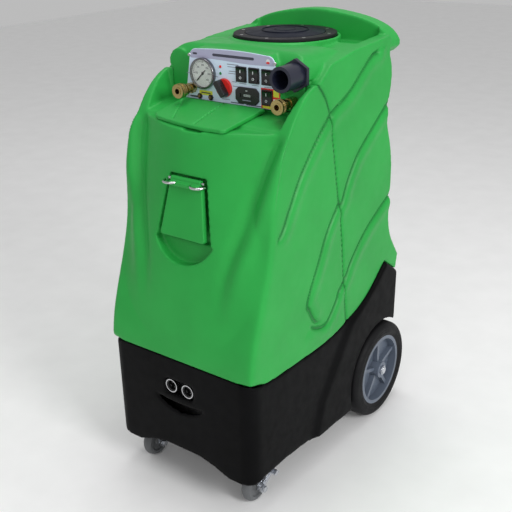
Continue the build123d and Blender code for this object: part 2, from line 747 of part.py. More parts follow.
for side_name, place, wall_y, reach in (
    ("left", LEFT_COUPLER, PANEL_Y, 53), ("right", RIGHT_COUPLER, CHEEK_Y, 62),
):
    coupler_body, coupler_sleeve = coupler(place[0], place[1], wall_y, reach)
    save(coupler_body, f"coupler_{side_name}")
    save(coupler_sleeve, f"coupler_sleeve_{side_name}")


# ---------------------------------------------------------------- fill lid and service door
with BuildPart() as fill_lid:
    shelf_tilt = 10.37
    lid_plane = Plane(
        origin=(0, -119, 852.5), x_dir=(1, 0, 0), z_dir=(
            0, -sin(radians(shelf_tilt)), cos(radians(shelf_tilt)),
        )
    )
    with BuildSketch(lid_plane):
        with BuildLine():
            Polyline((92, 0), (-126, 0), (-128, -88))
            ThreePointArc((-128, -88), (-120, -100), (-104, -107))
            ThreePointArc((-104, -107), (-20, -121), (64, -122))
            ThreePointArc((64, -122), (74, -120), (79, -110))
            Line((79, -110), (92, 0))
        make_face()
    extrude(amount=8.5)
    fillet(fill_lid.faces().sort_by(Axis.Z)[-1].edges(), 2.5)
save(fill_lid, "fill_lid")

DOOR_T = 13.0
with BuildPart() as service_door:
    with BuildSketch(front_leaning.offset(-1.5)):
        with BuildLine():
            Polyline((-43, 3), (43, 3), (60, -107), (-60, -107), close=True)
        make_face()
    extrude(amount=-DOOR_T)
    fillet(service_door.edges().filter_by(lambda e: abs((e % 0.5).dot(front_leaning.z_dir)) > 0.99), 6)
    # Barrel along the top edge, joined to the door by a neck.
    with BuildSketch(side_plane(-40)):
        with Locations(DOOR_AXIS):
            Circle(6.5)
    extrude(amount=80)
    with Locations((0, -278.5, 724.5)):
        Box(74, 10, 9)
    with BuildSketch(side_plane(-60)):
        with Locations(DOOR_AXIS):
            Circle(HINGE_ROD_R + RUN)
    extrude(amount=120, mode=Mode.SUBTRACT)
save(service_door, "service_door")

with BuildPart() as door_hinge_rod:
    with BuildSketch(side_plane(-47.5)):
        with Locations(DOOR_AXIS):
            Circle(HINGE_ROD_R)
    extrude(amount=95)
save(door_hinge_rod, "door_hinge_rod")

with BuildPart() as door_rings:
    for x in (-36, 36):
        with BuildSketch(Plane(origin=(x - 17, -274.4, 727), x_dir=(1, 0, 0), z_dir=(0, -1, 0))):
            Circle(2.6)
        ring_axis = Axis((x, -274.4, 727), (0, 0, 1))
        revolve(axis=ring_axis, revolution_arc=180)
save(door_rings, "door_rings")


# ---------------------------------------------------------------- power inlets in the base
with BuildPart() as power_inlets:
    with BuildSketch(facing(0, 0, FRONT_Y + INLET_DEPTH)):
        with Locations((-INLET_X, INLET_Z), (INLET_X, INLET_Z)):
            Circle(14)
            Circle(11.5, mode=Mode.SUBTRACT)
    extrude(amount=13)
    with BuildSketch(facing(0, 0, FRONT_Y + INLET_DEPTH)):
        with Locations((-INLET_X, INLET_Z), (INLET_X, INLET_Z)):
            Circle(14)
    extrude(amount=2)
    with BuildSketch(facing(0, 0, FRONT_Y + INLET_DEPTH)):
        with Locations((-INLET_X, INLET_Z), (INLET_X, INLET_Z)):
            Circle(10.9)
    extrude(amount=-24)
    for inlet_x in (-INLET_X, INLET_X):
        with BuildSketch(facing(inlet_x, INLET_Z, FRONT_Y + INLET_DEPTH)):
            with PolarLocations(6.5, 3, start_angle=90):
                Rectangle(2, 5)
        extrude(amount=10)
save(power_inlets, "power_inlets")

with BuildPart() as inlet_rings:
    with BuildSketch(facing(0, 0, FRONT_Y + INLET_DEPTH)):
        with Locations((-INLET_X, INLET_Z), (INLET_X, INLET_Z)):
            Circle(INLET_R)
            Circle(14, mode=Mode.SUBTRACT)
    extrude(amount=15)
save(inlet_rings, "inlet_rings")


# ---------------------------------------------------------------- rear axle and wheels
NUT_X = 223.0
with BuildPart() as axle:
    with BuildSketch(side_plane(-NUT_X + 4)):
        with Locations((WHEEL_Y, WHEEL_R)):
            Circle(AXLE_R)
    extrude(amount=2 * NUT_X - 8)
save(axle, "axle")

with BuildPart() as axle_brackets:
    for side in (1, -1):
        with BuildSketch(side_plane(side * 118)):
            with BuildLine():
                Polyline(
                    (165, 149.6), (245, 149.6), (245, 144), (219, 113), (191, 113), (165, 144),
                    close=True,
                )
            make_face()
            with Locations((WHEEL_Y, WHEEL_R)):
                Circle(AXLE_R, mode=Mode.SUBTRACT)
        extrude(amount=side * 5)
        with Locations((side * 103, WHEEL_Y, 147.1)):
            Box(30, 80, 5)
save(axle_brackets, "axle_brackets")

with BuildPart() as axle_retainers:
    for side in (1, -1):
        with BuildSketch(side_plane(side * (TYRE_X[1] + 1.4))):
            with Locations((WHEEL_Y, WHEEL_R)):
                RegularPolygon(11, 6, major_radius=False)
                Circle(AXLE_R, mode=Mode.SUBTRACT)
        extrude(amount=side * 4)
        with BuildSketch(side_plane(side * (NUT_X - 4))):
            with Locations((WHEEL_Y, WHEEL_R)):
                Circle(9.5)
        extrude(amount=side * 4, taper=12)
        with BuildSketch(side_plane(side * (TYRE_X[1] + 1.4))):
            with Locations((WHEEL_Y, WHEEL_R)):
                Circle(AXLE_R)
        extrude(amount=side * (NUT_X - 4 - TYRE_X[1] - 1.4), mode=Mode.SUBTRACT)
save(axle_retainers, "axle_retainers")


def hub_part(side):
    """Moulded hub: rim, dished web with five ribs and a long boss."""
    inner, outer = side * (TYRE_X[0] + 3), side * (TYRE_X[1] - 3)
    with BuildPart() as hub:
        with BuildSketch(side_plane(inner)):
            with Locations((WHEEL_Y, WHEEL_R)):
                Circle(RIM_R)
                Circle(RIM_R - 9, mode=Mode.SUBTRACT)
        extrude(amount=outer - inner)
        with BuildSketch(side_plane(side * 184)):
            with Locations((WHEEL_Y, WHEEL_R)):
                Circle(RIM_R - 5)
        extrude(amount=side * 7)
        with BuildSketch(side_plane(side * (TYRE_X[0] - 3))):
            with Locations((WHEEL_Y, WHEEL_R)):
                Circle(21)
        extrude(amount=side * (TYRE_X[1] - TYRE_X[0] + 4))
        with BuildSketch(side_plane(side * 190)):
            with Locations((WHEEL_Y, WHEEL_R)):
                with PolarLocations(52, 5, start_angle=90):
                    Rectangle(66, 9)
        extrude(amount=side * 14)
        with BuildSketch(side_plane(side * 150)):
            with Locations((WHEEL_Y, WHEEL_R)):
                Circle(AXLE_R + RUN)
        extrude(amount=side * 80, mode=Mode.SUBTRACT)
    return hub


def tyre_part(side):
    """Tyre with rounded shoulders, seated on the rim."""
    middle = side * (TYRE_X[0] + TYRE_X[1]) / 2
    half = (TYRE_X[1] - TYRE_X[0]) / 2
    with BuildPart() as tyre:
        with BuildSketch(Plane(origin=(middle, WHEEL_Y, WHEEL_R), x_dir=(1, 0, 0), z_dir=(0, -1, 0))):
            with BuildLine():
                Polyline(
                    (-half + 3, RIM_R), (-half + 3, RIM_R + 2), (-half, RIM_R + 10),
                    (-half, WHEEL_R - 14),
                )
                shoulder = ThreePointArc(
                    (-half, WHEEL_R - 14), (-half + 3.5, WHEEL_R - 5.5), (-half + 11, WHEEL_R - 1),
                )
                crown = ThreePointArc(shoulder @ 1, (0, WHEEL_R), (half - 11, WHEEL_R - 1))
                ThreePointArc(crown @ 1, (half - 3.5, WHEEL_R - 5.5), (half, WHEEL_R - 14))
                Polyline(
                    (half, WHEEL_R - 14), (half, RIM_R + 10), (half - 3, RIM_R + 2), (half - 3, RIM_R),
                    (-half + 3, RIM_R),
                )
            make_face()
        revolve(axis=Axis((0, WHEEL_Y, WHEEL_R), (1, 0, 0)))
    return tyre


for side_name, side in (("left", -1), ("right", 1)):
    save(hub_part(side), f"{side_name}_wheel_hub")
    save(tyre_part(side), f"{side_name}_tyre")


# ---------------------------------------------------------------- front casters
CASTER_HALF = 12.0
AXLE_Y = CASTER_Y - CASTER_TRAIL
LEG_X = 15.0

with BuildPart() as caster_plates:
    for side in (1, -1):
        with BuildSketch(
            Plane(origin=(side * CASTER_X, CASTER_Y, CASTER_TOP - 3.2), x_dir=(1, 0, 0), z_dir=(0, 0, 1)),
        ):
            RectangleRounded(60, 48, 5)
            with GridLocations(44, 32, 2, 2):
                Circle(2.6, mode=Mode.SUBTRACT)
        extrude(amount=3)
        with BuildSketch(
            Plane(origin=(side * CASTER_X, CASTER_Y, CASTER_TOP - 10), x_dir=(1, 0, 0), z_dir=(0, 0, 1)),
        ):
            Circle(17)
            Circle(5 + RUN, mode=Mode.SUBTRACT)
        extrude(amount=7)
save(caster_plates, "caster_plates")

with BuildPart() as caster_screws:
    with BuildSketch(Plane.XY.offset(CASTER_TOP - 3.2)):
        with Locations((CASTER_X, CASTER_Y), (-CASTER_X, CASTER_Y)):
            with GridLocations(44, 32, 2, 2):
                Circle(2.6)
    extrude(amount=14)
    with BuildSketch(Plane.XY.offset(CASTER_TOP - 3.2)):
        with Locations((CASTER_X, CASTER_Y), (-CASTER_X, CASTER_Y)):
            with GridLocations(44, 32, 2, 2):
                RegularPolygon(4.3, 6)
    extrude(amount=-3)
save(caster_screws, "caster_screws")


def caster_fork(x):
    """Swivelling fork: crown, kingpin and two legs that lean forwards to the wheel."""
    with BuildPart() as fork:
        with BuildSketch(Plane(origin=(x, CASTER_Y, CASTER_TOP - 13.5), x_dir=(1, 0, 0), z_dir=(0, 0, 1))):
            Circle(20)
            with Locations((0, -12)):
                Rectangle(2 * LEG_X + 6, 26)
        extrude(amount=3)
        with BuildSketch(Plane(origin=(x, CASTER_Y, CASTER_TOP - 12), x_dir=(1, 0, 0), z_dir=(0, 0, 1))):
            Circle(5)
        extrude(amount=8.5)
        for side in (1, -1):
            with BuildSketch(side_plane(x + side * LEG_X)):
                with BuildLine():
                    Polyline(
                        (CASTER_Y + 14, CASTER_TOP - 10.5), (CASTER_Y - 25, CASTER_TOP - 10.5),
                        (AXLE_Y - 12, CASTER_R), (AXLE_Y, CASTER_R - 11), (AXLE_Y + 12, CASTER_R),
                        close=True,
                    )
                make_face()
            extrude(amount=side * 3)
        with BuildSketch(side_plane(x - 40)):
            with Locations((AXLE_Y, CASTER_R)):
                Circle(4 + RUN)
        extrude(amount=80, mode=Mode.SUBTRACT)
    return fork


def caster_wheel(x):
    """Wheel with a rounded tread and recessed faces."""
    with BuildPart() as wheel:
        with BuildSketch(Plane(origin=(x, AXLE_Y, CASTER_R), x_dir=(1, 0, 0), z_dir=(0, -1, 0))):
            with BuildLine():
                ThreePointArc((-CASTER_HALF, CASTER_R - 6), (0, CASTER_R), (CASTER_HALF, CASTER_R - 6))
                Polyline(
                    (CASTER_HALF, CASTER_R - 6), (CASTER_HALF, 26), (CASTER_HALF - 4, 24),
                    (CASTER_HALF - 4, 14),
                    (CASTER_HALF + 1.5, 11), (CASTER_HALF + 1.5, 4 + RUN), (-CASTER_HALF - 1.5, 4 + RUN),
                    (-CASTER_HALF - 1.5, 11), (4 - CASTER_HALF, 14), (4 - CASTER_HALF, 24),
                    (-CASTER_HALF, 26),
                    (-CASTER_HALF, CASTER_R - 6),
                )
            make_face()
        revolve(axis=Axis((x, AXLE_Y, CASTER_R), (1, 0, 0)))
    return wheel


def caster_bolt(x):
    """Axle bolt with a hexagon head inside and a nut outside, long enough to carry the brake lever."""
    with BuildPart() as bolt:
        with BuildSketch(side_plane(x - LEG_X - 3)):
            with Locations((AXLE_Y, CASTER_R)):
                Circle(4)
        extrude(amount=2 * LEG_X + 18)
        for face_x in (x - LEG_X - 8, x + LEG_X + 12.5):
            with BuildSketch(side_plane(face_x)):
                with Locations((AXLE_Y, CASTER_R)):
                    RegularPolygon(6.5, 6, major_radius=False)
            extrude(amount=5)
    return bolt


def caster_brake(x):
    """Side brake: a cam on the axle bolt with a lever that ends in a pad."""
    cam_x = x + LEG_X + 3.6
    with BuildPart() as brake:
        with BuildSketch(side_plane(cam_x)):
            with Locations((AXLE_Y, CASTER_R)):
                Circle(10)
        extrude(amount=8.5)
        with BuildSketch(side_plane(cam_x + 2)):
            with BuildLine():
                Polyline(
                    (AXLE_Y + 2, CASTER_R + 7), (AXLE_Y + 7, CASTER_R - 2),
                    (AXLE_Y + 40, CASTER_R + 20), (AXLE_Y + 35, CASTER_R + 27), close=True,
                )
            make_face()
        extrude(amount=4)
        with BuildSketch(
            Plane(origin=(cam_x - 2, AXLE_Y + 37.5, CASTER_R + 23.5), x_dir=(0, 0.84, 0.54), z_dir=(1, 0, 0)),
        ):
            RectangleRounded(13, 10, 3)
        extrude(amount=20)
        with BuildSketch(side_plane(cam_x - 2)):
            with Locations((AXLE_Y, CASTER_R)):
                Circle(4 + RUN)
        extrude(amount=30, mode=Mode.SUBTRACT)
    return brake


for side_name, x in (("left", -CASTER_X), ("right", CASTER_X)):
    save(caster_fork(x), f"{side_name}_caster_fork")
    save(caster_wheel(x), f"{side_name}_caster_wheel")
    save(caster_bolt(x), f"{side_name}_caster_bolt")
    save(caster_brake(x), f"{side_name}_caster_brake")


# ---------------------------------------------------------------- what the machine holds inside
with BuildPart() as vacuum_motors:
    for x in (-88, 88):
        with Locations((x, -70, 119)):
            Cylinder(72, 62, align=(Align.CENTER, Align.CENTER, Align.MIN))
        with Locations((x, -70, 181)):
            Cylinder(48, 70, align=(Align.CENTER, Align.CENTER, Align.MIN))
        with Locations((x, -70, 251)):
            Cylinder(30, 22, align=(Align.CENTER, Align.CENTER, Align.MIN))
save(vacuum_motors, "vacuum_motors")

with BuildPart() as solution_pump:
    with Locations((0, -236, 119)):
        Box(150, 80, 8, align=(Align.CENTER, Align.CENTER, Align.MIN))
    with BuildSketch(side_plane(-70)):
        with Locations((-236, 166)):
            Circle(36)
    extrude(amount=90)
    with BuildSketch(side_plane(20)):
        with Locations((-236, 163)):
            RectangleRounded(70, 72, 8)
    extrude(amount=48)
save(solution_pump, "solution_pump")

STANDPIPE_TOP = 880.0
with BuildPart() as standpipe:
    with Locations((STANDPIPE_X, STANDPIPE_Y, 300)):
        Cylinder(STANDPIPE_R, STANDPIPE_TOP - 300, align=(Align.CENTER, Align.CENTER, Align.MIN))
    # Cage for the float: four bars and a ring over the pipe's mouth.
    with Locations((STANDPIPE_X, STANDPIPE_Y, STANDPIPE_TOP)):
        with PolarLocations(STANDPIPE_R - 4, 4):
            Cylinder(2, 52, align=(Align.CENTER, Align.CENTER, Align.MIN))
    with Locations((STANDPIPE_X, STANDPIPE_Y, STANDPIPE_TOP + 50)):
        Cylinder(STANDPIPE_R, 4, align=(Align.CENTER, Align.CENTER, Align.MIN))
        Cylinder(14, 20, mode=Mode.SUBTRACT)
    with Locations((STANDPIPE_X, STANDPIPE_Y, 290)):
        Cylinder(
            STANDPIPE_R - 3, STANDPIPE_TOP - 296, align=(Align.CENTER, Align.CENTER, Align.MIN),
            mode=Mode.SUBTRACT,
        )
    with Locations((STANDPIPE_X, STANDPIPE_Y, STANDPIPE_TOP)):
        Cylinder(14, 20, mode=Mode.SUBTRACT)
save(standpipe, "standpipe")

BALL_R = 18.0
with BuildPart() as float_ball:
    with Locations((STANDPIPE_X, STANDPIPE_Y, STANDPIPE_TOP + 11.6)):
        Sphere(BALL_R)
save(float_ball, "float_ball")

# Drain valve at the foot of the recovery tank, on the rear wall: spigot, flange, body and outlet.
DRAIN_MID_Y = 292.0
with BuildPart() as drain_valve:
    for start_y, end_y, radius in (
        (DRAIN_SEAT_Y - 26, 300, DRAIN_R - 0.1), (DRAIN_SEAT_Y, DRAIN_SEAT_Y + 6, 28),
        (DRAIN_MID_Y - 16, DRAIN_MID_Y + 16, 26), (DRAIN_MID_Y, 331, 22),
    ):
        with BuildSketch(facing(0, DRAIN_Z, start_y)):
            Circle(radius)
        extrude(amount=start_y - end_y)
    with BuildSketch(Plane(origin=(0, DRAIN_MID_Y, DRAIN_Z + 20), x_dir=(1, 0, 0), z_dir=(0, 0, 1))):
        Circle(9)
    extrude(amount=14)
    with BuildSketch(Plane(origin=(0, DRAIN_MID_Y, DRAIN_Z + 19), x_dir=(1, 0, 0), z_dir=(0, 0, 1))):
        Circle(5 + RUN)
    extrude(amount=40, mode=Mode.SUBTRACT)
    with BuildSketch(facing(0, DRAIN_Z, 220)):
        Circle(17)
    extrude(amount=-130, mode=Mode.SUBTRACT)
save(drain_valve, "drain_valve")

with BuildPart() as drain_handle:
    with BuildSketch(Plane(origin=(0, DRAIN_MID_Y, DRAIN_Z + 20), x_dir=(1, 0, 0), z_dir=(0, 0, 1))):
        Circle(5)
    extrude(amount=16)
    with BuildSketch(Plane(origin=(0, DRAIN_MID_Y, DRAIN_Z + 34.5), x_dir=(1, 0, 0), z_dir=(0, 0, 1))):
        with Locations((28, 0)):
            SlotOverall(80, 18)
    extrude(amount=6)
save(drain_handle, "drain_handle")
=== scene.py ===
import json
import math

import bmesh
import bpy
import numpy as np
from mathutils import Matrix, Vector

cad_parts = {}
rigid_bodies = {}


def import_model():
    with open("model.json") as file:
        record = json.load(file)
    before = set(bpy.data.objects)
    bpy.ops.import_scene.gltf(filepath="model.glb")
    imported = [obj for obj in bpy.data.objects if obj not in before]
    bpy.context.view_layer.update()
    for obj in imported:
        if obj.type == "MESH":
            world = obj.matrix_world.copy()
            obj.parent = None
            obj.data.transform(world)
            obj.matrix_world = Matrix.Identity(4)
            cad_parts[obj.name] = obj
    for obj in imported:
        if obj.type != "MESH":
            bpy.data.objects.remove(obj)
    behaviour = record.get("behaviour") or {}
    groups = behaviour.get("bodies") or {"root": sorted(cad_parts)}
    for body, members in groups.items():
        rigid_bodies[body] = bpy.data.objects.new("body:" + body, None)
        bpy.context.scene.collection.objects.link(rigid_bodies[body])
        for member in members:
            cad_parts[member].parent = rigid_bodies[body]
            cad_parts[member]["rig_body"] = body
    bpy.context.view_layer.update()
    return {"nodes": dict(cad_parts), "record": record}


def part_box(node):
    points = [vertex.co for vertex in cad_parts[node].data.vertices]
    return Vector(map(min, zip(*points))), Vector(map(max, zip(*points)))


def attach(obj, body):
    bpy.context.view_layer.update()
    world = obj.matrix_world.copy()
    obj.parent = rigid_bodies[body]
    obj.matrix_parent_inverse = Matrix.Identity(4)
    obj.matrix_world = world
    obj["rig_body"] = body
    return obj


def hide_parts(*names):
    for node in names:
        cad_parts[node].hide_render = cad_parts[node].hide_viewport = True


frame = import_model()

MM = 0.001
NODES = frame["nodes"]
PANEL_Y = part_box("control_panel")[0].y


# ---------------------------------------------------------------- materials
def new_material(name):
    """An empty node material with a shader, object coordinates and its node tree."""
    material = bpy.data.materials.new(name)
    material.use_nodes = True
    tree = material.node_tree
    shader = tree.nodes["Principled BSDF"]
    place = tree.nodes.new("ShaderNodeTexCoord")
    return material, tree, shader, place


def noise(tree, place, scale, detail=3.0):
    """A noise texture in object space."""
    texture = tree.nodes.new("ShaderNodeTexNoise")
    texture.inputs["Scale"].default_value = scale
    texture.inputs["Detail"].default_value = detail
    tree.links.new(place.outputs["Object"], texture.inputs["Vector"])
    return texture


def ramp(tree, source, low, high):
    """A colour ramp from low to high over the middle of a noise texture's range."""
    node = tree.nodes.new("ShaderNodeValToRGB")
    node.color_ramp.elements[0].position = 0.3
    node.color_ramp.elements[1].position = 0.7
    node.color_ramp.elements[0].color = low
    node.color_ramp.elements[1].color = high
    tree.links.new(source.outputs["Fac"], node.inputs["Fac"])
    return node


def bumped(tree, shader, source, strength, distance=0.0004):
    """Bump from a texture."""
    bump = tree.nodes.new("ShaderNodeBump")
    bump.inputs["Strength"].default_value = strength
    bump.inputs["Distance"].default_value = distance
    tree.links.new(source.outputs["Fac"], bump.inputs["Height"])
    tree.links.new(bump.outputs["Normal"], shader.inputs["Normal"])


ROUGHNESS_SPREAD = 0.12


def surface(name, colour, rough, spread=0.10, grain=500.0, bump=0.25, metallic=0.0, patch=9.0, **sockets):
    """A solid finish: blotchy colour and roughness at a large scale, and a fine grain as bump."""
    material, tree, shader, place = new_material(name)
    low = [c * (1 - spread) for c in colour] + [1.0]
    high = [min(1.0, c * (1 + spread)) for c in colour] + [1.0]
    broad = noise(tree, place, patch)
    tint = ramp(tree, broad, low, high)
    tree.links.new(tint.outputs["Color"], shader.inputs["Base Color"])
    smoother = [rough * (1 - ROUGHNESS_SPREAD)] * 3 + [1.0]
    rougher = [min(1.0, rough * (1 + ROUGHNESS_SPREAD))] * 3 + [1.0]
    gloss = ramp(tree, noise(tree, place, patch * 5), smoother, rougher)
    tree.links.new(gloss.outputs["Color"], shader.inputs["Roughness"])
    bumped(tree, shader, noise(tree, place, grain, 2.0), bump)
    shader.inputs["Metallic"].default_value = metallic
    for socket, value in sockets.items():
        shader.inputs[socket.replace("_", " ")].default_value = value
    return material


def clear_material(name):
    """Clear plastic lens with a faint texture."""
    material, tree, shader, place = new_material(name)
    shader.inputs["Transmission Weight"].default_value = 1.0
    shader.inputs["IOR"].default_value = 1.2
    tint = ramp(tree, noise(tree, place, 40.0), (0.95, 0.97, 0.97, 1), (1, 1, 1, 1))
    tree.links.new(tint.outputs["Color"], shader.inputs["Base Color"])
    gloss = ramp(tree, noise(tree, place, 90.0), (0.02, 0.02, 0.02, 1), (0.06, 0.06, 0.06, 1))
    tree.links.new(gloss.outputs["Color"], shader.inputs["Roughness"])
    return material


def paint_crease_shade(material, shade_colour):
    """Paints shade into a finish along the moulded creases and the joint, as strongly as the mesh's crease
    attribute says.
    """
    tree = material.node_tree
    shader = tree.nodes["Principled BSDF"]
    source = shader.inputs["Base Color"].links[0].from_socket
    shade_weight = tree.nodes.new("ShaderNodeAttribute")
    shade_weight.attribute_name = "crease"
    mix = tree.nodes.new("ShaderNodeMix")
    mix.data_type = "RGBA"
    mix.inputs["B"].default_value = shade_colour
    tree.links.new(shade_weight.outputs["Fac"], mix.inputs["Factor"])
    tree.links.new(source, mix.inputs["A"])
    tree.links.new(mix.outputs["Result"], shader.inputs["Base Color"])
    return material


GREEN = surface(
    "green_plastic", (0.022, 0.345, 0.058), 0.42, spread=0.07, grain=420.0, bump=0.2, Specular_IOR_Level=0.22
)
# Painted shade: along the creases and the joint on the sides, the green turns this dark green in place of
# the shadow in those grooves.
paint_crease_shade(GREEN, (0.004, 0.10, 0.022, 1))
BLACK = surface(
    "black_plastic", (0.0026, 0.0026, 0.003), 0.5, spread=0.3, grain=380.0, bump=0.3, Specular_IOR_Level=0.06
)
MATERIALS = {
    "green_tank": GREEN,
    "black_base": BLACK,
    "black_lid": surface(
        "lid_plastic", (0.007, 0.009, 0.018), 0.48, spread=0.2, grain=300.0, Specular_IOR_Level=0.08
    ),
    "black_flange": surface(
        "flange_plastic", (0.016, 0.016, 0.018), 0.48, spread=0.2, Specular_IOR_Level=0.1
    ),
    "seal_rubber": surface("seal_rubber", (0.02, 0.02, 0.02), 0.8, spread=0.2),
    "panel_face": surface("panel_print", (0.66, 0.78, 0.95), 0.36, spread=0.04, grain=900.0, bump=0.08),
    "screw_steel": surface("screw_steel", (0.55, 0.55, 0.56), 0.28, metallic=1.0, grain=1500.0),
    "gauge_metal": surface("gauge_metal", (0.20, 0.20, 0.21), 0.2, metallic=1.0, spread=0.05, bump=0.05),
    "gauge_face": surface("gauge_face", (0.90, 0.92, 0.90), 0.45, spread=0.03, bump=0.05),
    "needle_paint": surface("needle_paint", (0.012, 0.012, 0.012), 0.4),
    "clear_lens": clear_material("clear_lens"),
    "switch_black": surface(
        "switch_black", (0.010, 0.010, 0.011), 0.28, spread=0.3, grain=900.0, bump=0.12
    ),
    "knob_red": surface("knob_red", (0.68, 0.018, 0.012), 0.26, spread=0.08, bump=0.08),
    "lamp_green": surface("lamp_green", (0.02, 0.20, 0.06), 0.18, bump=0.05),
    "button_white": surface("button_brown", (0.16, 0.09, 0.03), 0.35, bump=0.1),
    "port_plastic": surface(
        "port_plastic", (0.012, 0.014, 0.030), 0.34, spread=0.25, grain=600.0, bump=0.2
    ),
    "coupler_brass": surface(
        "coupler_brass", (0.46, 0.36, 0.15), 0.27, metallic=1.0, spread=0.18, grain=900.0
    ),
    "ring_chrome": surface("ring_chrome", (0.58, 0.58, 0.60), 0.14, metallic=1.0, spread=0.03, bump=0.03),
    "axle_steel": surface("axle_steel", (0.58, 0.60, 0.64), 0.26, metallic=1.0, spread=0.14, grain=700.0),
    "hub_grey": surface("hub_grey", (0.115, 0.14, 0.185), 0.4, spread=0.12, grain=500.0),
    "tyre_rubber": surface(
        "tyre_rubber", (0.006, 0.006, 0.007), 0.62, spread=0.3, grain=350.0, bump=0.4, Specular_IOR_Level=0.2
    ),
    "caster_grey": surface("caster_grey", (0.10, 0.105, 0.11), 0.5, spread=0.2, grain=400.0, bump=0.3),
    "motor_metal": surface("motor_metal", (0.45, 0.45, 0.46), 0.4, metallic=1.0, grain=300.0),
}
INK = surface("label_ink", (0.05, 0.05, 0.08), 0.5, bump=0.02)
GREY_INK = surface("grey_ink", (0.22, 0.22, 0.30), 0.5, bump=0.02)
HEADER = surface("header_print", (0.42, 0.42, 0.58), 0.32, spread=0.04, bump=0.04)
YELLOW = surface("yellow_print", (0.72, 0.70, 0.05), 0.4, spread=0.05, bump=0.04)
RED = surface("red_print", (0.72, 0.02, 0.02), 0.4, spread=0.05, bump=0.04)
WHITE = surface("white_print", (0.72, 0.74, 0.78), 0.4, spread=0.04, bump=0.02)

for entry in frame["record"]["subparts"]:
    node_object = NODES[entry["node"]]
    node_object.data.materials.clear()
    node_object.data.materials.append(MATERIALS[entry["material_slot"]])


# ---------------------------------------------------------------- mesh helpers
def place_mesh(name, mesh, material, body):
    """An object in the scene that rides on a body."""
    piece = bpy.data.objects.new(name, mesh)
    bpy.context.scene.collection.objects.link(piece)
    mesh.materials.clear()
    mesh.materials.append(material)
    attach(piece, body)
    return piece


def evaluated(piece):
    """A piece's mesh with its modifiers applied."""
    depsgraph = bpy.context.evaluated_depsgraph_get()
    return bpy.data.meshes.new_from_object(piece.evaluated_get(depsgraph))


def coordinates(mesh):
    co = np.zeros(len(mesh.vertices) * 3, np.float32)
    mesh.vertices.foreach_get("co", co)
    return co.reshape(-1, 3).astype(float)


def normals(mesh):
    values = np.zeros(len(mesh.vertices) * 3, np.float32)
    mesh.vertex_normals.foreach_get("vector", values)
    return values.reshape(-1, 3).astype(float)


def relax(mesh, weight, rounds):
    """Moves each point towards the mean of its neighbours."""
    co = coordinates(mesh)
    count = len(co)
    ends = np.zeros(len(mesh.edges) * 2, np.int32)
    mesh.edges.foreach_get("vertices", ends)
    a, b = ends.reshape(-1, 2).T
    degree = (np.bincount(a, minlength=count) + np.bincount(b, minlength=count))[:, None]
    step = 0.5 * weight[:, None]
    for _ in range(rounds):
        total = np.stack([
            np.bincount(a, co[b, k], count) + np.bincount(b, co[a, k], count) for k in range(3)
        ], 1)
        co += step * (total / degree - co)
    mesh.vertices.foreach_set("co", co.ravel())
    mesh.update()


def spaced_curve(points, steps=14):
    """A smooth curve through points given in millimetres, as closely spaced points in metres."""
    p = np.array([points[0], *points, points[-1]], float) * MM
    out = []
    for i in range(1, len(p) - 2):
        for t in np.linspace(0, 1, steps, endpoint=False):
            out.append(0.5 * (
                2 * p[i] + (p[i + 1] - p[i - 1]) * t
                + (2 * p[i - 1] - 5 * p[i] + 4 * p[i + 1] - p[i + 2]) * t ** 2
                + (3 * p[i] - p[i - 1] - 3 * p[i + 1] + p[i + 2]) * t ** 3
            ))
    out.append(p[-2])
    return np.array(out)


def beside(flat, curve):
    """Distance from each flat point to a curve, positive on the right of its direction of travel."""
    nearest = np.zeros(len(flat), int)
    for start in range(0, len(flat), 20000):
        chunk = flat[start:start + 20000]
        gap = ((chunk[:, None, :] - curve[None, :, :]) ** 2).sum(2)
        nearest[start:start + 20000] = gap.argmin(1)
    travel = np.gradient(curve, axis=0)[nearest]
    offset = flat - curve[nearest]
    side = travel[:, 1] * offset[:, 0] - travel[:, 0] * offset[:, 1]
    distance = np.sqrt((offset ** 2).sum(1))
    return np.where(side >= 0, distance, -distance), nearest / (len(curve) - 1)


def bell(value, width):
    return np.exp(-(value / width) ** 2)


def smooth_step(value, low, high):
    t = np.clip((value - low) / (high - low), 0, 1)
    return t * t * (3 - 2 * t)


FACE_LIMIT = 190000


def sculpted(node, voxel, carve, rounds=3):
    """A dense copy of a CAD node, relaxed, carved along its normals and thinned again."""
    body = NODES[node]["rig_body"]
    source = bpy.data.objects.new(node + "_source", NODES[node].data.copy())
    bpy.context.scene.collection.objects.link(source)
    remesh = source.modifiers.new("remesh", "REMESH")
    remesh.mode = "VOXEL"
    remesh.voxel_size = voxel
    mesh = evaluated(source)
    bpy.data.objects.remove(source)
    relax(mesh, np.ones(len(mesh.vertices)), rounds)
    carve(mesh)
    triangles = sum(len(p.vertices) - 2 for p in mesh.polygons)
    slot = next(s["material_slot"] for s in frame["record"]["subparts"] if s["node"] == node)
    piece = place_mesh(node + "_skin", mesh, MATERIALS[slot], body)
    if triangles > FACE_LIMIT:
        thin = piece.modifiers.new("thin", "DECIMATE")
        thin.ratio = FACE_LIMIT / triangles
        piece.data = evaluated(piece)
        piece.modifiers.clear()
        piece.data.materials.clear()
        piece.data.materials.append(MATERIALS[slot])
    piece.data.polygons.foreach_set("use_smooth", [True] * len(piece.data.polygons))
    # The green skins get painted shade along their creases and joint.
    if slot == "green_tank":
        store_painted_crease_shade(piece.data)
    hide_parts(node)
    return piece


def displace(mesh, amount):
    """Moves each point along its normal."""
    co = coordinates(mesh) + normals(mesh) * amount[:, None]
    mesh.vertices.foreach_set("co", co.ravel())
    mesh.update()


